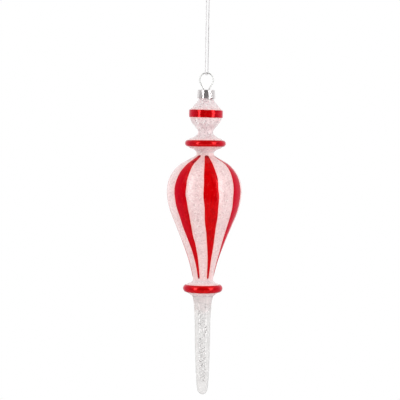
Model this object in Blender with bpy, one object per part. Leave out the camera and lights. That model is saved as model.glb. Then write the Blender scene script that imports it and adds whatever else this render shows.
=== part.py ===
"""Icicle hanging ornament: a lampworked glass drop, its metal cap and wire hanger, and the cord it hangs on.

Metres, +Z up. The origin is the underside of the cord's knot, which is what holds the ornament up.
Heights of the glass, cap and hanger are given below the cap's top face, and CAP_TOP_Z puts that face in place.
"""

import math

import bmesh
import bpy
from mathutils import Vector

MM = 0.001
GAP = 0.3 * MM  # what touching pieces keep between them

# Cord: one loop of fine thread, tied in a knot above and passing under the hanger's bow below.
CORD_RADIUS = 0.35 * MM
CORD_DROP = 46.5 * MM  # from the knot's underside down to the bow's wire
KNOT_RADIUS = 1.6 * MM
KNOT_HALF_HEIGHT = 1.5 * MM
TAIL_LENGTH = 6.0 * MM
TAIL_LEAN_DEG = 16.0
TAIL_APART = 0.56 * MM  # from the knot's axis to where a tail leaves it
TAIL_START_Z = 2.25 * MM

# Wire hanger: a round bow over two spring legs that reach down inside the glass neck.
WIRE_RADIUS = 0.375 * MM
BOW_RADIUS = 3.95 * MM
BOW_CENTRE_Z = 5.8 * MM  # above the cap's top face
LEG_TOP_X = 1.63 * MM  # half the distance between the legs where they pass the cap
LEG_TIP_X = 2.45 * MM
LEG_TIP_Z = -13.5 * MM
LEG_BEND = 1.0 * MM  # how far from the cap's top face the leg starts to bend

CAP_TOP_Z = -(CORD_DROP + BOW_CENTRE_Z + BOW_RADIUS)

# Metal cap: a pressed cup with a flat top and a fluted, slightly flared skirt.
CAP_HEIGHT = 4.9 * MM
CAP_TOP_RADIUS = 4.95 * MM
CAP_HEM_RADIUS = 5.2 * MM
CAP_WALL = 0.36 * MM
CAP_EDGE_ROUND = 0.5 * MM
FLUTES = 10
FLUTE_SIDES = 8  # flats that draw one flute
FLUTE_DEPTH = 0.14 * MM
FLUTE_START = 0.12  # the share of the skirt, from the top, that stays round
HEM_WAVE = 0.24 * MM
SKIRT_RINGS = (0.35, 0.7, 1.0)  # where the skirt has points, as shares of its height
SLOT_INNER_X = 0.9 * MM
SLOT_OUTER_X = 3.1 * MM
SLOT_WIDTH = 1.35 * MM

# Glass: sections along the drop, each ending half a gap short of the seam with the next one.
NECK_RADIUS = 4.25 * MM
NECK_BORE = 3.2 * MM
SEAM_BORE = 1.8 * MM  # the narrow bore through the seams
RIM_Z = -(CAP_WALL + GAP)
BEAD_BAND_RADIUS = 9.8 * MM
BEAD_BAND_TOP = -11.65 * MM
BEAD_BAND_BOTTOM = -16.15 * MM
BULB_WALL = 1.3 * MM
UPPER_SEAM_Z = -26.8 * MM
WAIST_SEAM_Z = -36.4 * MM
LOWER_SEAM_Z = -110.5 * MM
STEM_SEAM_Z = -119.7 * MM
TIP_Z = -176.7 * MM
TIP_RADIUS = 2.95 * MM
UPPER_DISC_RADIUS = 11.9 * MM
UPPER_DISC_Z = -31.05 * MM
UPPER_DISC_ROUND = 2.0 * MM
LOWER_DISC_RADIUS = 11.5 * MM
LOWER_DISC_Z = -115.75 * MM
LOWER_DISC_ROUND = 2.35 * MM

GLASS_SIDES = 40
RIM_ARC_DEG = 75.0  # a disc's rim is this much of a circle above and below its widest line


def clear_scene():
    for old in list(bpy.data.objects):
        bpy.data.objects.remove(old, do_unlink=True)


def linear(channel):
    """A 0 to 255 screen value as linear light."""
    share = channel / 255.0
    if share <= 0.04045:
        return share / 12.92
    return ((share + 0.055) / 1.055) ** 2.4


def material(name, colour, roughness, metallic=0.0, transmission=0.0):
    made = bpy.data.materials.new(name)
    made.use_nodes = True
    shader = made.node_tree.nodes["Principled BSDF"]
    shader.inputs["Base Color"].default_value = [linear(c) for c in colour] + [1.0]
    shader.inputs["Roughness"].default_value = roughness
    shader.inputs["Metallic"].default_value = metallic
    shader.inputs["Transmission Weight"].default_value = transmission
    made.diffuse_color = shader.inputs["Base Color"].default_value
    return made


def add_object(name, data, finish, z=0.0):
    thing = bpy.data.objects.new(name, data)
    bpy.context.scene.collection.objects.link(thing)
    thing.location = (0.0, 0.0, z)
    if data.materials:
        data.materials[0] = finish
    else:
        data.materials.append(finish)
    return thing


def mesh_from(bm, name):
    """The bmesh as a smooth-shaded mesh with its faces pointing out."""
    bmesh.ops.recalc_face_normals(bm, faces=bm.faces)
    data = bpy.data.meshes.new(name)
    bm.to_mesh(data)
    bm.free()
    data.shade_smooth()
    data.set_sharp_from_angle(angle=math.radians(40))
    return data


def smooth_through(points, per_span):
    """Points along a Catmull-Rom curve that passes through the given ones, in any dimension."""
    knots = [Vector(p) for p in points]
    first = knots[0] * 2 - knots[1]
    last = knots[-1] * 2 - knots[-2]
    knots = [first] + knots + [last]
    made = []
    for i in range(1, len(knots) - 2):
        p0, p1, p2, p3 = knots[i - 1 : i + 3]
        for step in range(per_span):
            t = step / per_span
            cubic = (p1 * 3 - p0 - p2 * 3 + p3) * t**3
            square = (p0 * 2 - p1 * 5 + p2 * 4 - p3) * t**2
            made.append((p1 * 2 + (p2 - p0) * t + square + cubic) * 0.5)
    made.append(knots[-2])
    return made


def arc(centre, radius, start_deg, end_deg, steps):
    """Points on a circle in the (radius, height) plane, both ends included."""
    made = []
    for i in range(steps + 1):
        angle = math.radians(start_deg + (end_deg - start_deg) * i / steps)
        made.append(Vector((centre[0] + radius * math.cos(angle), centre[1] + radius * math.sin(angle))))
    return made


def join_rings(bm, rings, sides):
    """Skins each ring of points to the next one. A ring of one point is a pole."""
    for a, b in zip(rings, rings[1:]):
        for i in range(sides):
            j = (i + 1) % sides
            if len(a) == 1:
                bm.faces.new((a[0], b[i], b[j]))
            elif len(b) == 1:
                bm.faces.new((a[i], a[j], b[0]))
            else:
                bm.faces.new((a[i], a[j], b[j], b[i]))


def lathe(name, profile, closed):
    """Turns a (radius, height) profile about Z. A point at radius 0 becomes a pole."""
    bm = bmesh.new()
    rings = []
    for radius, height in profile:
        if radius <= 0.0:
            rings.append([bm.verts.new((0.0, 0.0, height))])
            continue
        ring = []
        for i in range(GLASS_SIDES):
            angle = 2 * math.pi * i / GLASS_SIDES
            ring.append(bm.verts.new((radius * math.cos(angle), radius * math.sin(angle), height)))
        rings.append(ring)
    join_rings(bm, rings, GLASS_SIDES)
    if closed:
        join_rings(bm, [rings[-1], rings[0]], GLASS_SIDES)
    return mesh_from(bm, name)


def in_mm(points):
    return [Vector(p) * MM for p in points]


def seam_above(z):
    return z - GAP / 2


def seam_below(z):
    return z + GAP / 2


def bead_mesh():
    """The open neck that the cap sits on, the small ball with its raised band, and the waist below it."""
    shoulder = smooth_through(in_mm([(5.3, -7.1), (7.3, -9.3), (9.2, -11.4)]), 2)
    band_middle = (BEAD_BAND_TOP + BEAD_BAND_BOTTOM) / 2
    band_edge = BEAD_BAND_RADIUS - 0.25 * MM
    band = [(band_edge, BEAD_BAND_TOP), (BEAD_BAND_RADIUS, band_middle), (band_edge, BEAD_BAND_BOTTOM)]
    below = smooth_through(in_mm([(9.25, -16.4), (8.3, -18.7), (6.4, -21.1), (4.75, -23.2), (4.4, -24.5)]), 2)
    outer = [(NECK_RADIUS, RIM_Z), (NECK_RADIUS, -5.7 * MM)] + shoulder + band + below
    outer.append((5.9 * MM, seam_below(UPPER_SEAM_Z)))
    inner = [(SEAM_BORE, seam_below(UPPER_SEAM_Z)), (SEAM_BORE, -24.6 * MM)]
    inner += in_mm([(4.9, -21.4), (7.5, -18.3), (8.4, -15.4), (8.3, -12.6), (5.7, -9.2)])
    inner += [(NECK_BORE, -6.6 * MM), (NECK_BORE, RIM_Z)]
    return lathe("glass_bead", outer + inner, True)


def disc_mesh(name, top, bottom, radius, middle, round_radius):
    """A flattened glass disc: a fillet above, a round rim, a fillet below, and a narrow bore on the axis."""
    centre = (radius - round_radius, middle)
    rim = arc(centre, round_radius, RIM_ARC_DEG, -RIM_ARC_DEG, 8)
    outer = in_mm(top) + rim + in_mm(bottom)
    bore = [(SEAM_BORE, outer[-1][1]), (SEAM_BORE, outer[0][1])]
    return lathe(name, outer + bore, True)


def upper_disc_mesh():
    top = [(6.1, seam_above(UPPER_SEAM_Z) / MM), (7.3, -27.6), (9.3, -28.3)]
    bottom = [(9.3, -33.7), (7.4, -34.4), (6.0, -35.1), (5.1, seam_below(WAIST_SEAM_Z) / MM)]
    return disc_mesh("upper_disc", top, bottom, UPPER_DISC_RADIUS, UPPER_DISC_Z, UPPER_DISC_ROUND)


def lower_disc_mesh():
    top = [(5.9, seam_above(LOWER_SEAM_Z) / MM), (6.9, -111.5), (9.0, -112.6)]
    bottom = [(7.7, -118.5), (6.1, seam_below(STEM_SEAM_Z) / MM)]
    return disc_mesh("lower_disc", top, bottom, LOWER_DISC_RADIUS, LOWER_DISC_Z, LOWER_DISC_ROUND)


def bulb_mesh():
    """The large teardrop: a round shoulder that runs out into a long taper, blown thin, with thick necks."""
    top = (4.95, seam_above(WAIST_SEAM_Z) / MM)
    shoulder = [(5.3, -37.9), (8.6, -40.0), (14.0, -43.1), (18.4, -47.7), (21.0, -53.4), (21.7, -60.0)]
    taper = [(20.2, -68.6), (16.9, -77.2), (12.9, -86.8), (9.3, -96.4), (7.2, -103.4), (6.0, -108.6)]
    bottom = (5.8, seam_below(LOWER_SEAM_Z) / MM)
    outer = smooth_through(in_mm([top] + shoulder + taper + [bottom]), 2)
    inner = [(max(SEAM_BORE, radius - BULB_WALL), height) for radius, height in outer[::-2]]
    inner[0] = (SEAM_BORE, outer[-1][1])
    inner[-1] = (SEAM_BORE, outer[0][1])
    inner[-2] = (SEAM_BORE, outer[2][1])
    inner[1] = (SEAM_BORE + BULB_WALL, inner[1][1])
    return lathe("glass_bulb", outer + inner, True)


def stem_mesh():
    """The icicle itself: a slim tube, open at its top and closed at its round tip."""
    top = (5.95, seam_above(STEM_SEAM_Z) / MM)
    taper = [(5.2, -124.0), (4.65, -133.5), (4.4, -147.0), (3.95, -162.5), (3.35, -171.5)]
    side = smooth_through(in_mm([top] + taper), 2)
    tip = arc((0.0, TIP_Z + TIP_RADIUS), TIP_RADIUS, 0.0, -90.0, 5)[:-1] + [(0.0, TIP_Z)]
    bore = [(0.0, TIP_Z + TIP_RADIUS)] + in_mm([(1.4, -171.0), (2.5, -160.0), (3.1, -140.0), (3.2, -126.0)])
    bore += [(SEAM_BORE, -121.4 * MM), (SEAM_BORE, side[0][1])]
    return lathe("icicle_stem", bore + side + tip, False)


def cap_mesh():
    """The cap before its slots are cut: a flat top, a rounded edge, and a skirt that flutes to a wavy hem."""
    top_flat = CAP_TOP_RADIUS - CAP_EDGE_ROUND
    edge = arc((top_flat, -CAP_EDGE_ROUND), CAP_EDGE_ROUND, 90.0, 0.0, 3)
    outer = [(0.0, 0.0)] + edge
    inner = [(0.0, -CAP_WALL), (top_flat - 0.1 * MM, -CAP_WALL), (CAP_TOP_RADIUS - CAP_WALL, -1.0 * MM)]
    for share in SKIRT_RINGS:
        radius = CAP_TOP_RADIUS + (CAP_HEM_RADIUS - CAP_TOP_RADIUS) * share
        outer.append((radius, -CAP_HEIGHT * share))
        inner.append((radius - CAP_WALL, -CAP_HEIGHT * share))
    bm = bmesh.new()
    sides = FLUTES * FLUTE_SIDES
    rings = []
    for radius, height in outer + inner[::-1]:
        if radius == 0.0:
            rings.append([bm.verts.new((0.0, 0.0, height))])
            continue
        depth = max(0.0, -height / CAP_HEIGHT - FLUTE_START)
        ring = []
        for i in range(sides):
            angle = 2 * math.pi * i / sides
            wave = math.cos(FLUTES * angle)
            r = radius + FLUTE_DEPTH * wave * depth
            z = height - HEM_WAVE * wave * depth**3
            ring.append(bm.verts.new((r * math.cos(angle), r * math.sin(angle), z)))
        rings.append(ring)
    join_rings(bm, rings, sides)
    return mesh_from(bm, "metal_cap")


def slot_cutter(side, finish):
    """A round-ended bar that cuts one of the two slots that the hanger's legs pass through."""
    bm = bmesh.new()
    half = SLOT_WIDTH / 2
    ends = [(SLOT_OUTER_X - half, -90.0), (SLOT_INNER_X + half, 90.0)]
    outline = []
    for x, start in ends:
        for point in arc((x, 0.0), half, start, start + 180.0, 6):
            outline.append(bm.verts.new((point[0] * side, point[1], -2 * CAP_WALL)))
    face = bm.faces.new(outline)
    lifted = bmesh.ops.extrude_face_region(bm, geom=[face])
    raised = [v for v in lifted["geom"] if isinstance(v, bmesh.types.BMVert)]
    bmesh.ops.translate(bm, vec=(0.0, 0.0, 3 * CAP_WALL), verts=raised)
    side_name = "right" if side > 0 else "left"
    cutter = add_object("slot_cutter_" + side_name, mesh_from(bm, "slot_cutter"), finish, CAP_TOP_Z)
    cutter.hide_render = True
    cutter.display_type = "WIRE"
    return cutter


def add_boolean(thing, cutter, operation):
    change = thing.modifiers.new(operation.lower() + "_" + cutter.name, "BOOLEAN")
    change.operation = operation
    change.solver = "EXACT"
    change.object = cutter


def add_cap(finish):
    cap = add_object("metal_cap", cap_mesh(), finish, CAP_TOP_Z)
    for side in (1, -1):
        add_boolean(cap, slot_cutter(side, finish), "DIFFERENCE")
    return cap


def tube_curve(name, points, radius, resolution):
    """A round tube with filled caps along the points."""
    curve = bpy.data.curves.new(name, "CURVE")
    curve.dimensions = "3D"
    curve.bevel_depth = radius
    curve.bevel_resolution = resolution
    curve.use_fill_caps = True
    spline = curve.splines.new("POLY")
    spline.points.add(len(points) - 1)
    for slot, point in zip(spline.points, points):
        slot.co = (point[0], point[1], point[2], 1.0)
    spline.use_smooth = True
    return curve


def hanger_points():
    """The wire's centreline from one leg's tip over the bow to the other, in the cap's frame."""
    reach = math.hypot(LEG_TOP_X, BOW_CENTRE_Z)
    tangent_deg = math.degrees(math.acos(BOW_RADIUS / reach) - math.atan2(BOW_CENTRE_Z, LEG_TOP_X))
    bow = arc((0.0, BOW_CENTRE_Z), BOW_RADIUS, tangent_deg, 180.0 - tangent_deg, 22)
    corner = Vector((LEG_TOP_X, 0.0))
    up = (bow[0] - corner).normalized() * LEG_BEND
    tip = Vector((LEG_TIP_X, LEG_TIP_Z))
    down = (tip - corner).normalized() * LEG_BEND
    bend = []
    for i in range(6):
        t = i / 5
        bend.append((corner + down) * (1 - t) ** 2 + corner * 2 * t * (1 - t) + (corner + up) * t**2)
    right = [tip] + bend
    left = [Vector((-p[0], p[1])) for p in right[::-1]]
    return [(p[0], 0.0, p[1]) for p in right + bow + left]


def add_hanger(finish):
    curve = tube_curve("wire_hanger", hanger_points(), WIRE_RADIUS, 2)
    return add_object("wire_hanger", curve, finish, CAP_TOP_Z)


def cord_route():
    """The loop's own points, in millimetres from the knot: down in front, under the bow, and up behind."""
    front = [
        (-0.75, -0.40, -0.3),
        (-0.75, -0.42, -4.0),
        (-0.75, -0.50, -9.0),
        (-0.74, -0.62, -16.0),
        (-0.75, -0.78, -24.0),
        (-0.76, -0.92, -31.0),
        (-0.75, -1.05, -38.0),
        (-0.75, -1.15, -43.0),
        (-0.75, -1.18, -45.2),
        (-0.74, -1.16, -46.3),
        (-0.63, -0.98, -46.95),
        (-0.34, -0.53, -47.40),
    ]
    middle = [(0.0, 0.0, -47.53)]
    back = [(-x, -y, z) for x, y, z in front[::-1]]
    return front + middle + back


def add_cord(finish):
    points = smooth_through(in_mm(cord_route()), 2)
    curve = tube_curve("hanging_cord", points, CORD_RADIUS, 2)
    return add_object("hanging_cord", curve, finish)


def add_knot(finish):
    """The knot as a flattened ball, with the loop's two cut ends standing out of it."""
    bm = bmesh.new()
    bmesh.ops.create_uvsphere(bm, u_segments=20, v_segments=12, radius=1.0)
    bmesh.ops.scale(bm, vec=(KNOT_RADIUS, KNOT_RADIUS, KNOT_HALF_HEIGHT), verts=bm.verts)
    bmesh.ops.translate(bm, vec=(0.0, 0.0, KNOT_HALF_HEIGHT), verts=bm.verts)
    knot = add_object("cord_knot", mesh_from(bm, "cord_knot"), finish)
    for side in (1, -1):
        tail = add_tail(side, finish)
        add_boolean(knot, tail, "UNION")
    return knot


def add_tail(side, finish):
    """One cut end of the cord, a guide that the knot is joined with."""
    bm = bmesh.new()
    bmesh.ops.create_cone(
        bm, cap_ends=True, segments=10, radius1=CORD_RADIUS, radius2=CORD_RADIUS, depth=TAIL_LENGTH
    )
    side_name = "right" if side > 0 else "left"
    tail = add_object("tail_" + side_name, mesh_from(bm, "cord_tail"), finish)
    tail.rotation_euler = (0.0, math.radians(TAIL_LEAN_DEG) * side, 0.0)
    sideways = side * math.sin(math.radians(TAIL_LEAN_DEG)) * TAIL_LENGTH / 2
    tail.location = (side * TAIL_APART + sideways, 0.0, TAIL_START_Z + TAIL_LENGTH / 2)
    tail.hide_render = True
    tail.display_type = "WIRE"
    return tail


def main():
    clear_scene()
    frosted = material("frosted_glass", (232, 214, 214), 0.35, transmission=0.3)
    clear = material("icicle_glass", (226, 222, 220), 0.3, transmission=0.3)
    red = material("red_lacquered_glass", (190, 5, 12), 0.15)
    silver = material("silver_cap", (186, 184, 184), 0.25, metallic=1.0)
    wire = material("silver_wire", (205, 205, 203), 0.25, metallic=1.0)
    thread = material("cord_thread", (238, 236, 237), 0.7)
    add_object("glass_bead", bead_mesh(), frosted, CAP_TOP_Z)
    add_object("upper_disc", upper_disc_mesh(), red, CAP_TOP_Z)
    add_object("glass_bulb", bulb_mesh(), frosted.copy(), CAP_TOP_Z)
    add_object("lower_disc", lower_disc_mesh(), red.copy(), CAP_TOP_Z)
    add_object("icicle_stem", stem_mesh(), clear, CAP_TOP_Z)
    add_cap(silver)
    add_hanger(wire)
    add_cord(thread)
    add_knot(thread.copy())


main()
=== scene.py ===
"""The looks of the icicle ornament: blown glass, red lacquer, a pressed cap, its wire and a twisted cord."""

import math
import random

import bmesh
import bpy
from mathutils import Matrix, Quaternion, Vector


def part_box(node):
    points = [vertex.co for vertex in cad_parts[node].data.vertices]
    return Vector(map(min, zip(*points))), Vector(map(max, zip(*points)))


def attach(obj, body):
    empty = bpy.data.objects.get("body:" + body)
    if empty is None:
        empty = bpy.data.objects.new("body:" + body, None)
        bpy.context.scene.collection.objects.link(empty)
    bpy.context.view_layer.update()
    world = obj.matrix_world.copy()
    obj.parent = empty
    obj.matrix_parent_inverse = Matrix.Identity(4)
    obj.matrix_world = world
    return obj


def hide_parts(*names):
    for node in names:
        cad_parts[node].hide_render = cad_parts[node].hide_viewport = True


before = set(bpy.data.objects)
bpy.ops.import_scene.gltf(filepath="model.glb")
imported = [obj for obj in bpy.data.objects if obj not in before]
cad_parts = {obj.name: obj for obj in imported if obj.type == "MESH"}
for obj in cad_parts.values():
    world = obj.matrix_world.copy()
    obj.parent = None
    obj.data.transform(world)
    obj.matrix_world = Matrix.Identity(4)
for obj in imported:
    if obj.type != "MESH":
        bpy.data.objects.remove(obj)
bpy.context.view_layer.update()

MM = 0.001
CAP_TOP_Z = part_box("metal_cap")[1][2]
TIP_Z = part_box("icicle_stem")[0][2]

# Camera: level with the upper disc, seen through a long lens.
VIEW_WIDTH = 0.232
VIEW_CENTRE_X = -2.57 * MM
VIEW_CENTRE_Z = CAP_TOP_Z - 63.9 * MM
CAMERA_Z = CAP_TOP_Z - 31.0 * MM
CAMERA_DISTANCE = 1.4
CAMERA_ROLL_DEG = 1.0
SENSOR_MM = 36.0

# The room's light by direction, from straight in front of the ornament (0) to straight behind it (1).
ROOM_LIGHT = [(0.0, 0.10), (0.20, 0.12), (0.45, 0.52), (0.65, 0.86), (1.0, 1.02)]

# Softboxes: name, place sideways, forward and above the view's middle, width, height, and watts.
LIGHTS = [
    ("left_softbox", -0.55, -0.55, 0.10, 0.17, 0.9, 3.2),
    ("right_softbox", 0.62, -0.50, 0.10, 0.26, 0.9, 3.7),
    ("upper_left", -0.75, -0.45, 0.75, 0.7, 0.6, 2.2),
    ("upper_right", 0.75, -0.45, 0.75, 0.7, 0.6, 2.2),
]

FLOOR_DROP = 60 * MM
FLOOR_RADIUS = 0.48
FLOOR_PALE = 0.75

# Cord: the same route as the CAD tube, in millimetres from the knot.
CORD_FRONT = [
    (-0.75, -0.40, -0.3),
    (-0.75, -0.42, -4.0),
    (-0.75, -0.50, -9.0),
    (-0.74, -0.62, -16.0),
    (-0.75, -0.78, -24.0),
    (-0.76, -0.92, -31.0),
    (-0.75, -1.05, -38.0),
    (-0.75, -1.15, -43.0),
    (-0.75, -1.18, -45.2),
    (-0.74, -1.16, -46.3),
    (-0.63, -0.98, -46.95),
    (-0.34, -0.53, -47.40),
]
CORD_MIDDLE = [(0.0, 0.0, -47.53)]
PLY_RADIUS = 0.21 * MM
PLY_OFFSET = 0.17 * MM
PLIES = 2
TWIST_PITCH = 1.9 * MM
KNOT_HALF_HEIGHT = 1.5 * MM
KNOT_SPREAD = 0.42  # of the knot's formula, sideways, in millimetres
KNOT_RISE = 0.95
KNOT_ENTRY = [(0.75, 0.4, -0.25), (0.6, 0.2, 0.5), (0.3, 0.0, 1.3)]
KNOT_TAIL = [(0.2, 0.0, 1.6), (0.6, 0.1, 2.8), (1.2, -0.1, 4.6), (2.1, 0.1, 7.2)]
TAIL_FIBRES = 9
FIBRE_RADIUS = 0.035 * MM

# Glass profiles: (radius, height) in millimetres, height above the cap's top face.
SEAM_BORE = 1.8
BEAD_NECK = [(4.25, -0.7), (4.25, -3.0), (4.25, -5.6)]
BEAD_SHOULDER = [(5.3, -7.1), (7.3, -9.4), (9.15, -11.7)]
BEAD_BELLY = [(9.45, -13.0), (9.5, -14.6), (9.2, -16.3), (8.3, -18.7), (6.4, -21.1), (4.75, -23.2)]
BEAD_WAIST = [(4.38, -24.6), (4.75, -25.7), (6.0, -26.8)]
BEAD_INSIDE = [(4.0, -22.2), (6.9, -18.9), (8.1, -15.6), (8.0, -12.9), (5.7, -9.4)]
NECK_BORE = 3.2
NECK_BORE_END_Z = -6.6
UPPER_DISC_TOP = [(6.0, -26.8), (7.3, -27.6), (9.3, -28.3)]
UPPER_DISC_BOTTOM = [(9.3, -33.7), (7.4, -34.4), (6.0, -35.1), (5.0, -36.4)]
BULB_SHOULDER = [(5.0, -36.4), (5.3, -37.9), (8.6, -40.0), (14.0, -43.1), (18.4, -47.7), (21.0, -53.4)]
BULB_BELLY = [(21.7, -60.0), (20.2, -68.6), (16.9, -77.2)]
BULB_TAPER = [(12.9, -86.8), (9.3, -96.4), (7.2, -103.4), (6.0, -108.6), (5.85, -110.5)]
BULB_WALL = 1.3
LOWER_DISC_TOP = [(5.85, -110.5), (6.9, -111.6), (9.0, -112.7)]
STEM_TOP_Z = -119.7
LOWER_DISC_BOTTOM = [(7.7, -118.5), (6.05, STEM_TOP_Z)]
STEM_SIDE = [(6.05, STEM_TOP_Z), (5.2, -124.0), (4.65, -133.5), (4.4, -147.0), (3.95, -162.5), (3.35, -171.5)]
STEM_TIP_RADIUS = 2.95
STEM_TIP_Z = -176.7
STEM_BEND = 0.75  # how far the tip leans from the axis, in millimetres
STEM_CLEAR_Z = -133.0  # below this height the stem's glass is no longer milky
MILKY_WANDER = 3.5 * MM
FLAKES = 620
FLAKE_HEIGHTS = (-169.5, -121.0)
FLAKE_REACH = 2.0  # from the stem's middle line
FLAKE_SIZES = (0.12, 0.28)
FLAKE_THICKNESS = 0.04 * MM
FLAKE_CORNERS = 6
UPPER_RIM = (11.9, -31.05, 2.0)  # widest radius, middle height, radius of the rim's own curve
LOWER_RIM = (11.5, -115.4, 2.4)
BAND = (9.85, -13.9, 2.2)  # the bead's raised band: radius, middle height, half width
BAND_DEPTH = 0.8
DISC_NECK_RADIUS = 6.2  # a disc's glass is true on its axis inside this radius
DISC_SAG_SPAN = 4.0  # and sags fully this much further out
LOWER_DISC_ASIDE = -0.1
LOWER_DISC_TIP = 0.06
LOWER_DISC_ENDS_UP = 0.32
UPPER_DISC_WANDER = 0.05
RIM_CORE_DEG = 86.0  # the disc's own edge turns this far, under the lacquer
RIM_COAT_DEG = 66.0
RIM_COAT_INSIDE = 0.5
SEAM_LIGHT_REACH = 0.8  # how far the painted red light of a rim or band reaches into the glass beside it
SEAM_LIGHT_SHARE = 0.7
GLASS_SIDES = 128

# Stripes: seven, nearly evenly spaced, each leaning a little as a brush does.
# Angles are in degrees, 0 towards the camera, and the pairs are (height, degrees).
STRIPES = 7
FIRST_STRIPE_DEG = 10.3
STRIPE_SHIFTS = [0.0, 0.0, 2.0, -3.0, 3.0, -4.0, 0.0]
STRIPE_TOP_LEANS = [-2.0, 10.0, 4.0, -5.0, 3.0, -4.0, 6.0]
LEAN_START_Z = -56.0
LEAN_SPAN = 18.0
STRIPE_TOP_Z = -37.9
STRIPE_BOTTOM_Z = -109.4
STRIPE_HALF_TOP = [(-38.0, 12.0), (-40.0, 9.6), (-42.0, 9.8), (-48.0, 11.2), (-60.0, 12.0)]
STRIPE_HALF_WIDTHS = STRIPE_HALF_TOP + [(-75.0, 11.6), (-90.0, 9.6), (-104.0, 6.3), (-110.0, 6.0)]
STRIPE_TWIST = [(-38.0, 0.0), (-60.0, 0.0), (-82.0, 4.0), (-99.0, 13.0), (-111.0, 18.5)]
STRIPE_POOLS = [0.2, 0.5, 0.8, 0.4, 0.9, 0.5, 0.8]  # how darkly the paint pools at each one's lower end
SPOTTED_STRIPES = (2, 4, 6)
SPOT_DROP = 3.8
STRIPE_LIGHT_REACH = 0.9
PAINT_HEIGHT = 0.09
PAINT_DEPTH = 0.15
PAINT_ROWS = 190
PAINT_COLUMNS = 12

# Cap and wire
CAP_HEIGHT = 4.9
CAP_TOP_RADIUS = 4.95
CAP_HEM_RADIUS = 5.2
CAP_WALL = 0.36
FLUTES = 10
FLUTE_DEPTH = 0.07
FLUTE_START_Z = -0.35
FLUTE_RUN = 1.6  # the flutes deepen to their full depth over this height
HEM_WAVE = 0.24
HEM_TILT = 0.12
SLOT_INNER_X = 0.9
SLOT_OUTER_X = 3.1
SLOT_WIDTH = 1.35
CAP_EDGE = 0.5  # the rolled edge's radius
CAP_TOP_FACE = [(0.0, 0.0), (1.0, 0.0), (2.6, 0.0), (3.55, 0.0), (3.7, -0.07), (3.9, -0.07), (4.05, 0.0)]
CAP_ROWS = 16
WIRE_RADIUS = 0.375
BOW_RADIUS = 3.95
BOW_CENTRE_Z = 5.8
LEG_TOP_X = 1.3
LEG_TIP = (2.45, -13.5)
LEG_BEND = 1.0


# ---------------------------------------------------------------- shapes


def smooth_through(points, per_span):
    """Points along a Catmull-Rom curve through the given ones."""
    knots = [Vector(p) for p in points]
    knots = [knots[0] * 2 - knots[1]] + knots + [knots[-1] * 2 - knots[-2]]
    made = []
    for i in range(1, len(knots) - 2):
        p0, p1, p2, p3 = knots[i - 1 : i + 3]
        for step in range(per_span):
            t = step / per_span
            cubic = (p1 * 3 - p0 - p2 * 3 + p3) * t**3
            square = (p0 * 2 - p1 * 5 + p2 * 4 - p3) * t**2
            made.append((p1 * 2 + (p2 - p0) * t + square + cubic) * 0.5)
    made.append(knots[-2])
    return made


def arc(centre, radius, start_deg, end_deg, steps):
    """Points along a circle's arc, as flat vectors."""
    made = []
    for i in range(steps + 1):
        angle = math.radians(start_deg + (end_deg - start_deg) * i / steps)
        made.append(Vector((centre[0] + radius * math.cos(angle), centre[1] + radius * math.sin(angle))))
    return made


def read_at(pairs, x):
    """The value at x of a line through (x, value) pairs that run downwards."""
    if x >= pairs[0][0]:
        return pairs[0][1]
    for (xa, va), (xb, vb) in zip(pairs, pairs[1:]):
        if x >= xb:
            return va + (vb - va) * (xa - x) / (xa - xb)
    return pairs[-1][1]


def eased_at(pairs, x):
    """As read_at, averaged over a few millimetres so that the line has no corners."""
    steps = range(-3, 4)
    return sum(read_at(pairs, x + 1.2 * s) for s in steps) / len(steps)


def add_piece(name, bm, material, body, smooth_deg=50.0):
    """Makes a named piece from a mesh, and lets it ride on its body."""
    bmesh.ops.recalc_face_normals(bm, faces=bm.faces)
    data = bpy.data.meshes.new(name)
    bm.to_mesh(data)
    bm.free()
    data.shade_smooth()
    data.set_sharp_from_angle(angle=math.radians(smooth_deg))
    thing = bpy.data.objects.new(name, data)
    bpy.context.scene.collection.objects.link(thing)
    data.materials.append(material)
    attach(thing, body)
    return thing


def place(radius_mm, angle_deg, height_mm):
    """A point on the drop: angle 0 faces the camera and grows to the picture's right."""
    angle = math.radians(angle_deg)
    radius = radius_mm * MM
    return Vector((radius * math.sin(angle), -radius * math.cos(angle), CAP_TOP_Z + height_mm * MM))


def turned(profile, closed=True, sides=GLASS_SIDES, shift=None):
    """A solid turned from a (radius, height) profile. shift(radius, angle, height) may move each point."""
    bm = bmesh.new()
    rings = []
    for radius, height in profile:
        if radius <= 0.0:
            rings.append([bm.verts.new(place(0.0, 0.0, height))])
            continue
        ring = []
        for i in range(sides):
            angle = 360.0 * i / sides
            point = place(radius, angle, height)
            if shift is not None:
                point += shift(radius, angle, height)
            ring.append(bm.verts.new(point))
        rings.append(ring)
    pairs = list(zip(rings, rings[1:]))
    if closed:
        pairs.append((rings[-1], rings[0]))
    for a, b in pairs:
        for i in range(sides):
            j = (i + 1) % sides
            if len(a) == 1:
                bm.faces.new((a[0], b[i], b[j]))
            elif len(b) == 1:
                bm.faces.new((a[i], a[j], b[0]))
            else:
                bm.faces.new((a[i], a[j], b[j], b[i]))
    return bm


def with_bore(outer):
    """The outline closed along the narrow bore that joins one glass section to the next."""
    return list(outer) + [Vector((SEAM_BORE, outer[-1][1])), Vector((SEAM_BORE, outer[0][1]))]


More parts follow.
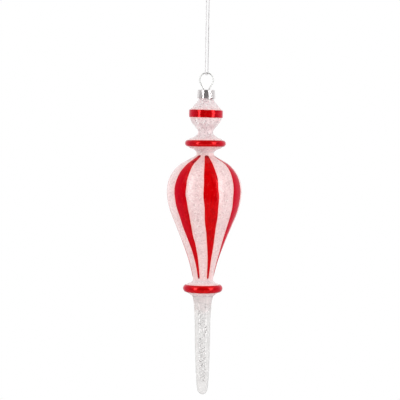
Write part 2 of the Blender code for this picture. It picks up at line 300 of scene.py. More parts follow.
def sweep(bm, points, radius, sides):
    """A closed round tube along the points, with frames carried along so that it doesn't twist."""
    count = len(points)
    tangents = []
    for i in range(count):
        tangents.append((points[min(i + 1, count - 1)] - points[max(i - 1, 0)]).normalized())
    side = tangents[0].orthogonal().normalized()
    rings = []
    for point, tangent in zip(points, tangents):
        side = (side - tangent * side.dot(tangent)).normalized()
        other = tangent.cross(side)
        ring = []
        for k in range(sides):
            angle = 2 * math.pi * k / sides
            ring.append(bm.verts.new(point + (side * math.cos(angle) + other * math.sin(angle)) * radius))
        rings.append(ring)
    for a, b in zip(rings, rings[1:]):
        for k in range(sides):
            j = (k + 1) % sides
            bm.faces.new((a[k], a[j], b[j], b[k]))
    bm.faces.new(rings[0][::-1])
    bm.faces.new(rings[-1])


def evenly(points, step):
    """The line through the points, resampled at about that step."""
    total = sum((b - a).length for a, b in zip(points, points[1:]))
    count = max(2, round(total / step))
    made, walked, i = [points[0]], 0.0, 0
    for k in range(1, count):
        target = total * k / count
        while walked + (points[i + 1] - points[i]).length < target:
            walked += (points[i + 1] - points[i]).length
            i += 1
        share = (target - walked) / (points[i + 1] - points[i]).length
        made.append(points[i].lerp(points[i + 1], share))
    made.append(points[-1])
    return made


def twisted(bm, points):
    """A thread of two plies twisted round the points' line."""
    count = len(points)
    tangents = [(points[min(i + 1, count - 1)] - points[max(i - 1, 0)]).normalized() for i in range(count)]
    side = tangents[0].orthogonal().normalized()
    lines = [[] for _ in range(PLIES)]
    walked = 0.0
    for i, (point, tangent) in enumerate(zip(points, tangents)):
        if i:
            walked += (point - points[i - 1]).length
        side = (side - tangent * side.dot(tangent)).normalized()
        other = tangent.cross(side)
        for k in range(PLIES):
            angle = 2 * math.pi * (walked / TWIST_PITCH + k / PLIES)
            lines[k].append(point + (side * math.cos(angle) + other * math.sin(angle)) * PLY_OFFSET)
    for line in lines:
        sweep(bm, line, PLY_RADIUS, 8)


# ---------------------------------------------------------------- materials


def linear(colour):
    """A screen colour, from 0 to 255, as the linear values that nodes take."""
    made = []
    for channel in colour:
        share = channel / 255.0
        made.append(share / 12.92 if share <= 0.04045 else ((share + 0.055) / 1.055) ** 2.4)
    return made + [1.0]


class Nodes:
    """A material's nodes, with short calls to make and join them."""

    def __init__(self, name):
        self.material = bpy.data.materials.new(name)
        self.material.use_nodes = True
        self.tree = self.material.node_tree
        self.shader = self.tree.nodes["Principled BSDF"]
        coordinates = self.tree.nodes.new("ShaderNodeTexCoord")
        self.place = coordinates.outputs["Object"]

    def node(self, kind, **values):
        made = self.tree.nodes.new(kind)
        for key, value in values.items():
            setattr(made, key, value)
        return made

    def join(self, source, target):
        self.tree.links.new(source, target)

    def feed(self, source, socket):
        """Gives a socket either another node's output or a plain value."""
        if hasattr(source, "is_linked"):
            self.join(source, socket)
        else:
            socket.default_value = source

    def noise(self, scale, detail=3.0, roughness=0.6, stretch=None):
        made = self.node("ShaderNodeTexNoise")
        made.inputs["Scale"].default_value = scale
        made.inputs["Detail"].default_value = detail
        made.inputs["Roughness"].default_value = roughness
        self.join(self.stretched(stretch), made.inputs["Vector"])
        return made.outputs["Fac"]

    def stretched(self, stretch):
        if stretch is None:
            return self.place
        mapping = self.node("ShaderNodeMapping")
        mapping.inputs["Scale"].default_value = stretch
        self.join(self.place, mapping.inputs["Vector"])
        return mapping.outputs["Vector"]

    def cells(self, scale):
        made = self.node("ShaderNodeTexVoronoi")
        made.inputs["Scale"].default_value = scale
        self.join(self.place, made.inputs["Vector"])
        return made

    def ramp(self, source, stops):
        made = self.node("ShaderNodeValToRGB")
        points = made.color_ramp.elements
        while len(points) < len(stops):
            points.new(0.5)
        for point, (position, colour) in zip(points, stops):
            point.position = position
            point.color = colour
        self.join(source, made.inputs["Fac"])
        return made.outputs["Color"]

    def spread(self, source, low, high, to_low, to_high):
        """Maps a value's range to another range, easing in and out at the ends."""
        made = self.node("ShaderNodeMapRange")
        made.inputs["From Min"].default_value = low
        made.inputs["From Max"].default_value = high
        made.inputs["To Min"].default_value = to_low
        made.inputs["To Max"].default_value = to_high
        made.interpolation_type = "SMOOTHERSTEP"
        self.join(source, made.inputs["Value"])
        return made.outputs["Result"]

    def mix(self, share, first, second):
        made = self.node("ShaderNodeMix", data_type="RGBA")
        for source, place_in_node in ((share, 0), (first, 6), (second, 7)):
            self.feed(source, made.inputs[place_in_node])
        return made.outputs[2]

    def bump(self, height, strength, distance, under=None):
        made = self.node("ShaderNodeBump")
        made.inputs["Strength"].default_value = strength
        made.inputs["Distance"].default_value = distance
        self.join(height, made.inputs["Height"])
        if under is not None:
            self.join(under, made.inputs["Normal"])
        return made.outputs["Normal"]

    def set(self, **values):
        for key, value in values.items():
            self.feed(value, self.shader.inputs[key.replace("_", " ")])


def glitter_glass(name, pale, tint, speck, flake_scale, dark_share):
    """Frosted glass dusted with fine glitter: pale and darker grains under a clear skin, bright grains
    painted as glints, and a painted pink of the red paint's light.
    """
    made = Nodes(name)
    cloud = made.ramp(made.noise(240.0, 4.0), [(0.35, linear(tint)), (0.68, linear(pale))])
    grain = made.cells(flake_scale)
    random_value = made.node("ShaderNodeSeparateColor")
    made.join(grain.outputs["Color"], random_value.inputs["Color"])
    dark = made.spread(random_value.outputs["Red"], 0.72, 0.95, 0.0, dark_share)
    # Painted glints: a share of the grains is mixed to near white.
    glint_grains = made.spread(random_value.outputs["Green"], 0.80, 0.95, 0.0, 0.9)
    colour = made.mix(dark, cloud, linear(speck))
    colour = made.mix(glint_grains, colour, linear((255, 250, 248)))
    # Painted light: the glass is mixed towards pink where the red paint's light would shine through it.
    attribute = made.node("ShaderNodeAttribute", attribute_name="painted_red_light")
    colour = made.mix(attribute.outputs["Fac"], colour, linear((255, 198, 194)))
    made.set(Base_Color=colour)
    made.set(Roughness=made.spread(random_value.outputs["Blue"], 0.0, 1.0, 0.25, 0.6))
    fine = made.bump(made.noise(1600.0, 3.0), 0.3, 0.00010)
    made.set(Normal=made.bump(grain.outputs["Distance"], 0.4, 0.00012, fine))
    made.set(IOR=1.5, Coat_Weight=0.5, Coat_Roughness=0.06, Coat_IOR=1.5)
    made.set(Subsurface_Weight=0.2, Subsurface_Radius=(1.0, 0.75, 0.75), Subsurface_Scale=0.002)
    return made.material


def clear_glass(name):
    """Drawn glass, milky where it joins the disc and unevenly clearer below, with faint ripples."""
    made = Nodes(name)
    clouds = made.noise(160.0, 3.0)
    ripples = made.noise(420.0, 2.0, 0.5, (1.0, 1.0, 0.25))
    height = made.node("ShaderNodeSeparateXYZ")
    made.join(made.place, height.inputs["Vector"])
    top, clear_from = CAP_TOP_Z + STEM_TOP_Z * MM, CAP_TOP_Z + STEM_CLEAR_Z * MM
    wavy = made.node("ShaderNodeMath", operation="ADD")
    made.join(height.outputs["Z"], wavy.inputs[0])
    made.join(made.spread(made.noise(260.0, 4.0), 0.3, 0.7, -MILKY_WANDER, MILKY_WANDER), wavy.inputs[1])
    drawn = made.spread(wavy.outputs["Value"], top, clear_from, 0.0, 1.0)
    plain = made.ramp(clouds, [(0.35, linear((240, 238, 237))), (0.65, linear((248, 246, 245)))])
    made.set(Base_Color=made.mix(drawn, linear((246, 234, 233)), plain))
    made.set(Transmission_Weight=made.spread(wavy.outputs["Value"], top, clear_from, 0.48, 0.85))
    made.set(Roughness=made.spread(clouds, 0.3, 0.7, 0.02, 0.06))
    made.set(Normal=made.bump(ripples, 0.1, 0.00012), IOR=1.4)
    return made.material


def red_lacquer(name, streak, mirror, waves, bend, coat):
    """Brushed-on glossy red, streaked along the brush, darker where the paint has pooled and where shade is
    painted at the stripes' tops, with painted glints and a painted crimson sheen on the sides.

    streak scales the streaks' noise, mirror is how far the gloss takes the paint's own red, waves is the
    depth of the brush's waves, bend is the paint's refractive index, and coat is a thin clear skin.
    """
    made = Nodes(name)
    long_streaks = made.noise(900.0, 3.0, 0.55, streak)
    patches = made.noise(170.0, 3.0)
    streaks = [(0.30, linear((184, 0, 3))), (0.5, linear((206, 0, 4))), (0.72, linear((220, 3, 10)))]
    colour = made.ramp(long_streaks, streaks)
    worn = made.spread(patches, 0.58, 0.78, 0.0, 0.5)
    colour = made.mix(worn, colour, linear((170, 0, 6)))
    # Painted sheen: crimson mixed in towards the drop's left and right sides.
    crimson_sheen = made.node("ShaderNodeAttribute", attribute_name="painted_side_sheen")
    colour = made.mix(crimson_sheen.outputs["Fac"], colour, linear((196, 0, 50)))
    # Painted glints: small lighter red flecks where the glitter under the lacquer would sparkle.
    glint_random = made.node("ShaderNodeSeparateColor")
    made.join(made.cells(1500.0).outputs["Color"], glint_random.inputs["Color"])
    painted_glints = made.spread(glint_random.outputs["Green"], 0.90, 0.98, 0.0, 0.22)
    colour = made.mix(painted_glints, colour, linear((246, 66, 62)))
    # Darker where the paint pools at the lower ends, and painted shade at the stripes' tops under the upper
    # disc.
    pooling_and_shade = made.node("ShaderNodeAttribute", attribute_name="pool_and_painted_shade")
    colour = made.mix(pooling_and_shade.outputs["Fac"], colour, linear((112, 0, 22)))
    made.set(Base_Color=colour)
    made.set(Roughness=made.spread(patches, 0.3, 0.7, 0.08, 0.18))
    made.set(Normal=made.bump(long_streaks, 0.2, 0.00008, made.bump(patches, waves, 0.0006)))
    made.set(IOR=bend, Metallic=mirror, Coat_Weight=coat, Coat_Roughness=0.14, Coat_IOR=1.45)
    return made.material


def bright_metal(name, colour, dull, roughness, dents):
    """Thin bright metal with fine scratches and faint clouding."""
    made = Nodes(name)
    clouds = made.noise(420.0, 4.0)
    scratches = made.noise(2600.0, 2.0, 0.5, (1.0, 1.0, 0.12))
    made.set(Base_Color=made.ramp(clouds, [(0.3, linear(dull)), (0.62, linear(colour))]))
    made.set(Metallic=1.0, Roughness=made.spread(scratches, 0.3, 0.7, roughness * 0.8, roughness * 1.25))
    made.set(Normal=made.bump(scratches, 0.1, 0.00003, made.bump(clouds, dents, 0.00060)))
    return made.material


def thread_cloth(name):
    """Silky white thread: fine fibres along each ply, with a soft sheen."""
    made = Nodes(name)
    fibres = made.noise(9000.0, 3.0, 0.6, (1.0, 1.0, 0.25))
    made.set(Base_Color=made.ramp(fibres, [(0.3, linear((212, 209, 210))), (0.65, linear((238, 236, 237)))]))
    made.set(Roughness=made.spread(fibres, 0.3, 0.7, 0.45, 0.7), Sheen_Weight=0.15, Sheen_Roughness=0.4)
    made.set(Normal=made.bump(fibres, 0.5, 0.00005))
    return made.material


# ---------------------------------------------------------------- pieces


def make_camera():
    data = bpy.data.cameras.new("camera")
    camera = bpy.data.objects.new("camera", data)
    bpy.context.scene.collection.objects.link(camera)
    target = Vector((VIEW_CENTRE_X, 0.0, VIEW_CENTRE_Z))
    camera.location = (VIEW_CENTRE_X, -CAMERA_DISTANCE, CAMERA_Z)
    direction = target - camera.location
    level = direction.to_track_quat("-Z", "Y")
    camera.rotation_mode = "QUATERNION"
    camera.rotation_quaternion = Quaternion(-direction, math.radians(CAMERA_ROLL_DEG)) @ level
    data.sensor_width = SENSOR_MM
    data.lens = SENSOR_MM * direction.length / VIEW_WIDTH
    data.clip_end = 20.0
    bpy.context.scene.camera = camera


def cord_points():
    """The cord's middle line, down its front half, under the bow and back up behind."""
    route = CORD_FRONT + CORD_MIDDLE + [(-x, -y, z) for x, y, z in CORD_FRONT[::-1]]
    smooth = smooth_through([Vector(p) * MM for p in route], 8)
    return evenly(smooth, 0.3 * MM)


def make_cord(finish):
    points = cord_points()
    bm = bmesh.new()
    twisted(bm, points)
    cord = add_piece("cord_thread", bm, finish, "cord", 80.0)
    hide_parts("hanging_cord")
    knot = make_knot(finish)


def knot_line():
    """An overhand knot's closed line, flattened to the CAD knot's ball."""
    made = []
    steps = 96
    for i in range(steps + 1):
        t = 2 * math.pi * i / steps + 0.5
        x = math.sin(t) + 2 * math.sin(2 * t)
        y = math.cos(t) - 2 * math.cos(2 * t)
        z = -math.sin(3 * t)
        turn = Vector((x * KNOT_SPREAD, y * KNOT_SPREAD, z * KNOT_RISE)) * MM
        made.append(turn + Vector((0.0, 0.0, KNOT_HALF_HEIGHT)))
    return made


def fray(bm, tail_points, rng):
    """The loose fibres at a cut end of the thread."""
    start = tail_points[-2]
    way = (tail_points[-1] - tail_points[-3]).normalized()
    for _ in range(TAIL_FIBRES):
        splay = Vector((rng.uniform(-1, 1), rng.uniform(-1, 1), rng.uniform(-1, 1))) * 0.45
        length = rng.uniform(0.5, 1.0) * MM
        middle = start + way * length * 0.5 + splay * 0.2 * MM
        end = start + (way + splay).normalized() * length
        sweep(bm, smooth_through([start, middle, end], 4), FIBRE_RADIUS, 5)


def make_knot(finish):
    """The knot above the loop, the two strands that enter it, and the two frayed ends that leave it."""
    bm = bmesh.new()
    twisted(bm, evenly(knot_line(), 0.12 * MM))
    for side in (1, -1):
        entry = [Vector((side * x, side * y, z)) * MM for x, y, z in KNOT_ENTRY]
        twisted(bm, evenly(smooth_through(entry, 6), 0.15 * MM))
        tail = [Vector((side * x, y, z)) * MM for x, y, z in KNOT_TAIL]
        tail_points = evenly(smooth_through(tail, 8), 0.2 * MM)
        twisted(bm, tail_points)
        fray(bm, tail_points, random.Random(3 + side))
    knot = add_piece("cord_knot_wraps", bm, finish, "knot", 80.0)
    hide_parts("cord_knot")
    return knot


def make_hanger(finish):
    """The wire: a round bow whose sides run straight to a bend at the cap, and two legs below it."""
    reach = math.hypot(LEG_TOP_X, BOW_CENTRE_Z)
    tangent_deg = math.degrees(math.acos(BOW_RADIUS / reach) - math.atan2(BOW_CENTRE_Z, LEG_TOP_X))
    bow = arc((0.0, BOW_CENTRE_Z), BOW_RADIUS, tangent_deg, 180.0 - tangent_deg, 72)
    corner, tip = Vector((LEG_TOP_X, 0.0)), Vector(LEG_TIP)
    up = (bow[0] - corner).normalized() * LEG_BEND
    down = (tip - corner).normalized() * LEG_BEND
    bend = []
    for i in range(11):
        t = i / 10
        bend.append((corner + down) * (1 - t) ** 2 + corner * 2 * t * (1 - t) + (corner + up) * t**2)
    right = [tip] + bend
    left = [Vector((-p[0], p[1])) for p in right[::-1]]
    line = [Vector((p[0] * MM, 0.0, CAP_TOP_Z + p[1] * MM)) for p in right + bow + left]
    bm = bmesh.new()
    sweep(bm, evenly(line, 0.25 * MM), WIRE_RADIUS * MM, 20)
    hanger = add_piece("hanger_wire", bm, finish, "hanger")
    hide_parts("wire_hanger")


def make_cap(finish):
    """The pressed cap: a flat top with a shallow ring, a rolled edge and a fluted skirt with a wavy hem."""
    edge = [tuple(p) for p in arc((CAP_TOP_RADIUS - CAP_EDGE, -CAP_EDGE), CAP_EDGE, 90.0, 0.0, 8)]
    outer, inner = CAP_TOP_FACE + edge, []
    for i in range(1, CAP_ROWS + 1):
        share = i / CAP_ROWS
        height = -CAP_EDGE - (CAP_HEIGHT - CAP_EDGE) * share
        radius = CAP_TOP_RADIUS + (CAP_HEM_RADIUS - CAP_TOP_RADIUS) * share
        outer.append((radius, height))
        inner.append((radius - CAP_WALL, height))
    inner = [(0.0, -CAP_WALL), (4.0, -CAP_WALL), (4.4, -CAP_WALL - 0.15)] + inner

    def flute(radius, angle_deg, height):
        depth = min(1.0, max(0.0, (FLUTE_START_Z - height) / FLUTE_RUN))
        wave = -math.cos(FLUTES * math.radians(angle_deg))
        crest = math.copysign(abs(wave) ** 0.8, wave)
        hem = max(0.0, -height / CAP_HEIGHT) ** 4
        tilt = HEM_TILT * math.sin(math.radians(angle_deg)) * hem
        outward = place(1.0, angle_deg, 0.0) - place(0.0, 0.0, 0.0)
        return outward * FLUTE_DEPTH * crest * depth - Vector((0.0, 0.0, (HEM_WAVE * wave + tilt) * hem * MM))

    bm = turned(outer + inner[::-1], closed=False, sides=FLUTES * 20, shift=flute)
    cap = add_piece("cap_shell", bm, finish, "cap", 35.0)
    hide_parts("metal_cap")
    cut_slots(cap)


def cut_slots(cap):
    """Cuts the two slots that the legs pass through, and keeps the cut mesh."""
    half = SLOT_WIDTH / 2
    for side in (1, -1):
        bm = bmesh.new()
        outline = []
        for x, start in ((SLOT_OUTER_X - half, -90.0), (SLOT_INNER_X + half, 90.0)):
            for point in arc((x, 0.0), half, start, start + 180.0, 12):
                outline.append(bm.verts.new((point[0] * side * MM, point[1] * MM, CAP_TOP_Z - 1.0 * MM)))
        face = bm.faces.new(outline)
        lifted = bmesh.ops.extrude_face_region(bm, geom=[face])
        raised = [v for v in lifted["geom"] if isinstance(v, bmesh.types.BMVert)]
        bmesh.ops.translate(bm, vec=(0.0, 0.0, 2.0 * MM), verts=raised)
        bmesh.ops.recalc_face_normals(bm, faces=bm.faces)
        data = bpy.data.meshes.new("slot_cutter")
        bm.to_mesh(data)
        bm.free()
        cutter = bpy.data.objects.new("slot_cutter", data)
        bpy.context.scene.collection.objects.link(cutter)
        change = cap.modifiers.new("slot", "BOOLEAN")
        change.operation = "DIFFERENCE"
        change.solver = "EXACT"
        change.object = cutter
        graph = bpy.context.evaluated_depsgraph_get()
        made = bpy.data.meshes.new_from_object(cap.evaluated_get(graph))
        cap.modifiers.clear()
        cap.data = made
        bpy.data.objects.remove(cutter, do_unlink=True)


def painted_seam_light(middle, half):
    """How strongly the painted red light of a red ring of that middle height and half width shows in the
    glass beside it.
    """

    def strength(radius, angle, height):
        return SEAM_LIGHT_SHARE * math.exp(-max(0.0, abs(height - middle) - half) / SEAM_LIGHT_REACH)

    return strength


def make_bead(glass, red):
    """The open neck, the small ball and its waist as one hollow glass, and the raised red band round it."""
    side = [BEAD_NECK[-1]] + BEAD_SHOULDER + BEAD_BELLY + BEAD_WAIST
    outer = smooth_through(BEAD_NECK, 3)[:-1] + smooth_through(side, 8)
    inner = [(SEAM_BORE, BEAD_WAIST[-1][1]), (SEAM_BORE, BEAD_WAIST[0][1])]
    inner += smooth_through(BEAD_INSIDE, 4) + [(NECK_BORE, NECK_BORE_END_Z), (NECK_BORE, BEAD_NECK[0][1])]
    bead = add_piece("bead_glass", turned(outer + inner), glass, "glass")
    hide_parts("glass_bead")
    radius, middle, half = BAND
    # Painted red light of the band in the glass beside it.
    mark(bead, "painted_red_light", painted_seam_light(middle, half))
    upper = [(radius - 0.45, middle + half), (radius - 0.12, middle + half - 0.14)]
    upper.append((radius - 0.04, middle + half * 0.6))
    face = upper + [(radius, middle)] + [(r, 2 * middle - z) for r, z in upper[::-1]]
    back = radius - BAND_DEPTH
    band = smooth_through(face, 5) + [Vector((back, middle - half)), Vector((back, middle + half))]
    solid = turned(band, shift=hand_wave(0.10, 11))
    ring = add_piece("bead_band", solid, red, "glass")
    mark(ring, "painted_side_sheen", sheen_by_angle)


def hand_wave(size, seed):
    """A small smooth up-and-down wander round a hand-laid band."""
    rng = random.Random(seed)
    waves = [(k, rng.uniform(0, 360), size * MM / k) for k in (1, 2, 3, 5)]

    def shift(radius, angle, height):
        total = sum(a * math.sin(math.radians(k * angle + start)) for k, start, a in waves)
        return Vector((0.0, 0.0, total))

    return shift


def make_disc(name, top, bottom, rim, glass, red, sag):
    """A flattened glass disc: pale fillets above and below, and a thick red rim laid over its edge."""
    radius, middle, round_radius = rim
    centre = (radius - round_radius, middle)
    core = arc(centre, round_radius - 0.12, RIM_CORE_DEG, -RIM_CORE_DEG, 16)
    outer = smooth_through(top, 6) + core + smooth_through(bottom, 6)
    solid = add_piece(name + "_glass", turned(with_bore(outer), shift=sag), glass, "glass")
    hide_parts(name)
    # Painted red light of the rim in the glass beside it.
    mark(solid, "painted_red_light", painted_seam_light(middle, round_radius * math.sin(math.radians(RIM_COAT_DEG))))
    coat = arc(centre, round_radius, RIM_COAT_DEG, -RIM_COAT_DEG, 22)
    inside = arc(centre, round_radius - RIM_COAT_INSIDE, -RIM_COAT_DEG, RIM_COAT_DEG, 10)
    rim_coat = turned(coat + inside, shift=sag)
    lacquer = add_piece(name + "_lacquer", rim_coat, red, "glass")
    mark(lacquer, "painted_side_sheen", sheen_by_angle)


def mark(thing, name, value_at):
    """Writes a number for each of a piece's points, which its material reads by name."""
    numbers = thing.data.attributes.new(name, "FLOAT", "POINT")
    for vertex, number in zip(thing.data.vertices, numbers.data):
        x, y, z = vertex.co
        angle = math.degrees(math.atan2(x, -y))
        number.value = value_at(math.hypot(x, y) / MM, angle, (z - CAP_TOP_Z) / MM)


def sheen_by_angle(radius, angle, height):
    """Painted sheen: the red turns towards crimson on the drop's left and right sides, by angle from the
    front, as the reflection of the side light would tint it.
    """
    return abs(math.sin(math.radians(angle))) ** 3


def bulb_outer(per_span):
    return smooth_through(BULB_SHOULDER + BULB_BELLY + BULB_TAPER, per_span)


def stripe_wander(seed):
    """The slow waves, as (rate, start, size), of one stripe's middle line and of its edges."""
    rng = random.Random(seed)
    centre_waves = [(rng.uniform(0.05, 0.30), rng.uniform(0, 6.3), rng.uniform(0.15, 0.40)) for _ in range(3)]
    edge_waves = [(rng.uniform(0.15, 0.9), rng.uniform(0, 6.3), rng.uniform(0.08, 0.22)) for _ in range(4)]
    return centre_waves, edge_waves


def sum_waves(waves, z):
    return sum(size * math.sin(rate * z + start) for rate, start, size in waves)


def stripe_middle(index, z):
    """The angle of a stripe's middle line at a height."""
    lean = STRIPE_TOP_LEANS[index] * max(0.0, min(1.0, (z - LEAN_START_Z) / LEAN_SPAN)) ** 2
    centre_waves, _ = WANDERS[index]
    even = FIRST_STRIPE_DEG + 360.0 * index / STRIPES + STRIPE_SHIFTS[index]
    return even + eased_at(STRIPE_TWIST, z) + lean + sum_waves(centre_waves, z)


def stripe_ends(index):
    """The heights of a stripe's top and bottom, which differ a little from stripe to stripe."""
    return STRIPE_TOP_Z - 0.5 * (index % 3), STRIPE_BOTTOM_Z + 0.9 * ((index * 2) % 3)


def degrees_away(index, angle, height):
    """How far an angle is from a stripe's middle line, from -180 to 180."""
    return (angle - stripe_middle(index, height) + 180.0) % 360.0 - 180.0


def stripe_half(index, z, side):
    """Half the stripe's width in degrees on one side, rounded off at both ends."""
    _, edge_waves = WANDERS[index]
    full = eased_at(STRIPE_HALF_WIDTHS, z) + sum_waves(edge_waves, z * (1.0 if side > 0 else 0.8) + side)
    top, bottom = stripe_ends(index)
    from_end = min((top - z) / 0.7, (z - bottom) / 1.5, 1.0)
    if from_end <= 0.0:
        return 0.0
    return full * math.sqrt(max(0.0, 1.0 - (1.0 - from_end) ** 2))


WANDERS = [stripe_wander(40 + i) for i in range(STRIPES)]


def painted_red_light(angle, height, radius):
    """How strongly painted red light from the stripes tints the glass at this place, from 0 to 1."""
    best = 0.0
    for index in range(STRIPES):
        away = degrees_away(index, angle, height)
        half = stripe_half(index, height, 1 if away > 0 else -1)
        if half <= 0.0:
            continue
        gap = math.radians(abs(away) - half) * radius
        best = max(best, math.exp(-max(0.0, gap) / STRIPE_LIGHT_REACH))
    return best


def make_bulb(glass, red):
    """The hollow teardrop and its painted stripes."""
    outer = bulb_outer(10)
    inner = [Vector((max(SEAM_BORE, r - BULB_WALL), z)) for r, z in outer[::-4]]
    inner[0] = Vector((SEAM_BORE, outer[-1][1]))
    inner[-1] = Vector((SEAM_BORE, outer[0][1]))
    bulb = add_piece("bulb_glass", turned(outer + inner, sides=196), glass, "glass")
    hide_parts("glass_bulb")
    # Painted light: the whole bulb gets some pink from the stripes' light seen through it, more beside each
    # stripe.
    mark(bulb, "painted_red_light", lambda radius, angle, height: 0.35 + 0.6 * painted_red_light(angle, height, radius))
    line = sorted(((z, r) for r, z in outer), reverse=True)
    for index in range(STRIPES):
        make_stripe(index, line, red)


def make_stripe(index, line, red):
    """One brushed stripe, a thin closed skin of paint that thins out to its edges."""
    bm = bmesh.new()
    top, bottom = stripe_ends(index)
    top, bottom = top - 0.02, bottom + 0.02
    loops = []
    for i in range(PAINT_ROWS + 1):
        share = i / PAINT_ROWS
        ease = share - math.sin(2 * math.pi * share) / (2 * math.pi) * 0.8
        z = top + (bottom - top) * ease
        radius = read_at(line, z)
        middle = stripe_middle(index, z)
        loop = []
        for j in range(PAINT_COLUMNS + 1):
            u = -1.0 + 2.0 * j / PAINT_COLUMNS
            angle = middle + u * max(0.02, stripe_half(index, z, 1 if u > 0 else -1))
            lift = PAINT_HEIGHT * (1.0 - abs(u) ** 5)
            loop.append(bm.verts.new(place(radius + lift, angle, z)))
        for j in range(PAINT_COLUMNS, -1, -1):
            u = -1.0 + 2.0 * j / PAINT_COLUMNS
            angle = middle + u * 0.98 * max(0.02, stripe_half(index, z, 1 if u > 0 else -1))
            loop.append(bm.verts.new(place(radius - PAINT_DEPTH, angle, z)))
        loops.append(loop)
    for a, b in zip(loops, loops[1:]):
        for j in range(len(a)):
            k = (j + 1) % len(a)
            bm.faces.new((a[j], a[k], b[k], b[j]))
    bm.faces.new(loops[0])
    bm.faces.new(loops[-1][::-1])
    stripe = add_piece(f"stripe_{index + 1}", bm, red, "glass", 60.0)

    def pool_and_shade_at(radius, angle, height):
        """The paint is darkest at the stripe's ends: the top is painted shade under the upper disc, the
        bottom is where the paint has pooled, and some have a darker spot near the top.
        """
        # Painted shade: the top of each stripe, under the upper disc, is darkened.
        at_top = math.exp(-((top - height) / 1.5) ** 2)
        at_bottom = math.exp(-((height - bottom) / 2.5) ** 2) * STRIPE_POOLS[index]
        spot = 0.0
        if index in SPOTTED_STRIPES:
            below, beside = height - top + SPOT_DROP, degrees_away(index, angle, height) - 5.0
            spot = math.exp(-((below / 0.8) ** 2) - (beside / 4.0) ** 2)
        return 0.9 * max(at_top, at_bottom, spot)

    mark(stripe, "pool_and_painted_shade", pool_and_shade_at)
    mark(stripe, "painted_side_sheen", sheen_by_angle)


def stem_lean(radius, angle, height):
    """The drawn stem leans a little to the right of the drop's axis, more towards its tip."""
    share = max(0.0, min(1.0, (STEM_TOP_Z - height) / (STEM_TOP_Z - STEM_TIP_Z)))
    return Vector((STEM_BEND * (0.6 * share + 0.4 * share * share), 0.0, 0.0)) * MM


def make_stem(clear, glitter):
    """The drawn stem, and the flakes of glitter sealed round its middle."""
    side = smooth_through(STEM_SIDE, 10)
    tip = arc((0.0, STEM_TIP_Z + STEM_TIP_RADIUS), STEM_TIP_RADIUS, 0.0, -90.0, 16)[:-1]
    outline = [Vector((0.0, STEM_TOP_Z))] + side + tip + [Vector((0.0, STEM_TIP_Z))]
    solid = turned(outline, closed=False, sides=96, shift=stem_lean)
    stem = add_piece("stem_glass", solid, clear, "glass")
    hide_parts("icicle_stem")
    bm = bmesh.new()
    rng = random.Random(17)
    lowest, highest = FLAKE_HEIGHTS
    for index in range(FLAKES):
        height = lowest + (highest - lowest) / FLAKES * (index + rng.random())
        angle = rng.uniform(0.0, 360.0)
        taper = 1.0 - 0.35 * (highest - height) / (highest - lowest)
        reach = FLAKE_REACH * taper * (0.6 + 0.4 * rng.random())
        centre = place(reach, angle, height) + stem_lean(reach, angle, height)
        size = rng.uniform(*FLAKE_SIZES) * MM
        axis = Vector((rng.gauss(0, 1), rng.gauss(0, 1), rng.gauss(0, 1))).normalized()
        add_flake(bm, centre, size, Quaternion(axis, rng.uniform(0, 6.3)))
    add_piece("stem_glitter", bm, glitter, "glass", 30.0)


def add_flake(bm, centre, size, tilt):
    """One thin six-sided flake."""
    half = Vector((0.0, 0.0, FLAKE_THICKNESS / 2))
    low, high = [], []
    for k in range(FLAKE_CORNERS):
        turn = 2 * math.pi * k / FLAKE_CORNERS
        flat = Vector((math.cos(turn), math.sin(turn), 0.0)) * size
        low.append(bm.verts.new(centre + tilt @ (flat - half)))
        high.append(bm.verts.new(centre + tilt @ (flat + half)))
    bm.faces.new(low[::-1])
    bm.faces.new(high)
    for k in range(FLAKE_CORNERS):
        j = (k + 1) % FLAKE_CORNERS
        bm.faces.new((low[k], low[j], high[j], high[k]))


def rim_share(radius):
    """0 at a disc's necks, growing to 1 at its rim."""
    return max(0.0, min(1.0, (radius - DISC_NECK_RADIUS) / DISC_SAG_SPAN))


def lower_disc_sag(radius, angle, height):
    """The lower disc is pressed a little off the axis, tips slightly, and curves up at its two ends."""
    share = rim_share(radius)
    tip = LOWER_DISC_TIP * math.sin(math.radians(angle)) * share
    ends_up = LOWER_DISC_ENDS_UP * math.sin(math.radians(angle)) ** 2 * share
    return Vector((LOWER_DISC_ASIDE * share, 0.0, tip + ends_up)) * MM


def upper_disc_sag(radius, angle, height):
    """The upper disc's rim wanders very slightly up and down."""
    return Vector((0.0, 0.0, UPPER_DISC_WANDER * math.sin(math.radians(2 * angle)) * rim_share(radius))) * MM


# ---------------------------------------------------------------- stage


def make_stage():
    floor_z = TIP_Z - FLOOR_DROP
    bm = bmesh.new()
    bmesh.ops.create_circle(bm, cap_ends=True, radius=FLOOR_RADIUS, segments=96)
    bmesh.ops.translate(bm, vec=(0.0, 0.0, floor_z), verts=bm.verts)
    data = bpy.data.meshes.new("floor")
    bm.to_mesh(data)
    bm.free()
    floor = bpy.data.objects.new("floor", data)
    bpy.context.scene.collection.objects.link(floor)
    pale = bpy.data.materials.new("pale_floor")
    pale.use_nodes = True
    shader = pale.node_tree.nodes["Principled BSDF"]
    shader.inputs["Base Color"].default_value = (FLOOR_PALE, FLOOR_PALE, FLOOR_PALE, 1.0)
    shader.inputs["Roughness"].default_value = 0.9
    data.materials.append(pale)


def area_light(name, position, width, height, power):
    """A softbox that faces the ornament's middle."""
    data = bpy.data.lights.new(name, "AREA")
    data.shape = "RECTANGLE"
    data.size = width
    data.size_y = height
    data.energy = power
    light = bpy.data.objects.new(name, data)
    bpy.context.scene.collection.objects.link(light)
    light.location = position
    middle = Vector((0.0, 0.0, VIEW_CENTRE_Z))
    light.rotation_mode = "QUATERNION"
    light.rotation_quaternion = (middle - Vector(position)).to_track_quat("-Z", "Y")


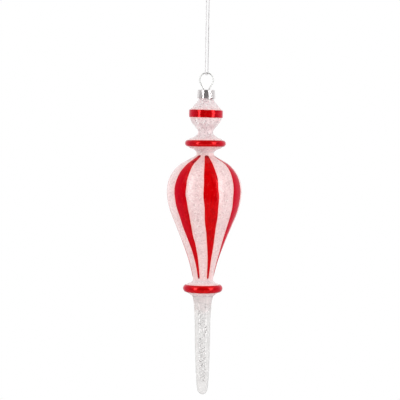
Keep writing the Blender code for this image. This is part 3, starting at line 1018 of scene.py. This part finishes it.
def make_world():
    """A white room: plain white to the camera, and as light bright behind the ornament and dark in front."""
    world = bpy.data.worlds.new("studio")
    bpy.context.scene.world = world
    world.use_nodes = True
    tree = world.node_tree
    tree.nodes.clear()
    output = tree.nodes.new("ShaderNodeOutputWorld")
    seen = tree.nodes.new("ShaderNodeBackground")
    seen.inputs["Color"].default_value = (1.0, 1.0, 1.0, 1.0)
    cast = tree.nodes.new("ShaderNodeBackground")
    direction = tree.nodes.new("ShaderNodeTexCoord")
    parts = tree.nodes.new("ShaderNodeSeparateXYZ")
    tree.links.new(direction.outputs["Generated"], parts.inputs["Vector"])
    ramp = tree.nodes.new("ShaderNodeValToRGB")
    points = ramp.color_ramp.elements
    while len(points) < len(ROOM_LIGHT):
        points.new(0.5)
    for point, (place_on_ramp, level) in zip(points, ROOM_LIGHT):
        point.position = place_on_ramp
        point.color = (level, level, level, 1.0)
    share = tree.nodes.new("ShaderNodeMapRange")
    share.inputs["From Min"].default_value = -1.0
    tree.links.new(parts.outputs["Y"], share.inputs["Value"])
    tree.links.new(share.outputs["Result"], ramp.inputs["Fac"])
    tree.links.new(ramp.outputs["Color"], cast.inputs["Color"])
    path = tree.nodes.new("ShaderNodeLightPath")
    either = tree.nodes.new("ShaderNodeMixShader")
    tree.links.new(path.outputs["Is Camera Ray"], either.inputs["Fac"])
    tree.links.new(cast.outputs["Background"], either.inputs[1])
    tree.links.new(seen.outputs["Background"], either.inputs[2])
    tree.links.new(either.outputs["Shader"], output.inputs["Surface"])


def make_lights():
    for name, x, y, above, width, height, power in LIGHTS:
        area_light(name, (x, y, VIEW_CENTRE_Z + above), width, height, power)
    make_world()
    bpy.context.scene.view_settings.view_transform = "Standard"


def main():
    make_camera()
    make_cord(thread_cloth("silver_thread"))
    make_stage()
    make_lights()
    # The pale glass colours carry some painted pink, the red paint's light seen through the glass.
    pale, tint, speck = (246, 229, 230), (228, 205, 207), (158, 136, 140)
    frosted = glitter_glass("frosted_glitter_glass", pale, tint, speck, 1550.0, 0.5)
    glitter = bright_metal("icicle_glitter", (206, 200, 200), (118, 112, 114), 0.35, 0.05)
    clear = clear_glass("icicle_clear_glass")
    stripe_red = red_lacquer("brushed_red_lacquer", (1.0, 1.0, 0.10), 0.06, 0.25, 1.16, 0.0)
    band_red = red_lacquer("banded_red_lacquer", (0.25, 0.25, 1.0), 0.30, 0.50, 1.16, 0.18)
    make_hanger(bright_metal("hanger_bright_wire", (222, 222, 220), (208, 208, 206), 0.45, 0.03))
    make_cap(bright_metal("cap_pressed_silver", (234, 229, 229), (214, 209, 209), 0.28, 0.45))
    make_bead(frosted, band_red)
    make_disc("upper_disc", UPPER_DISC_TOP, UPPER_DISC_BOTTOM, UPPER_RIM, frosted, band_red, upper_disc_sag)
    make_bulb(frosted, stripe_red)
    make_disc("lower_disc", LOWER_DISC_TOP, LOWER_DISC_BOTTOM, LOWER_RIM, frosted, band_red, lower_disc_sag)
    make_stem(clear, glitter)


main()
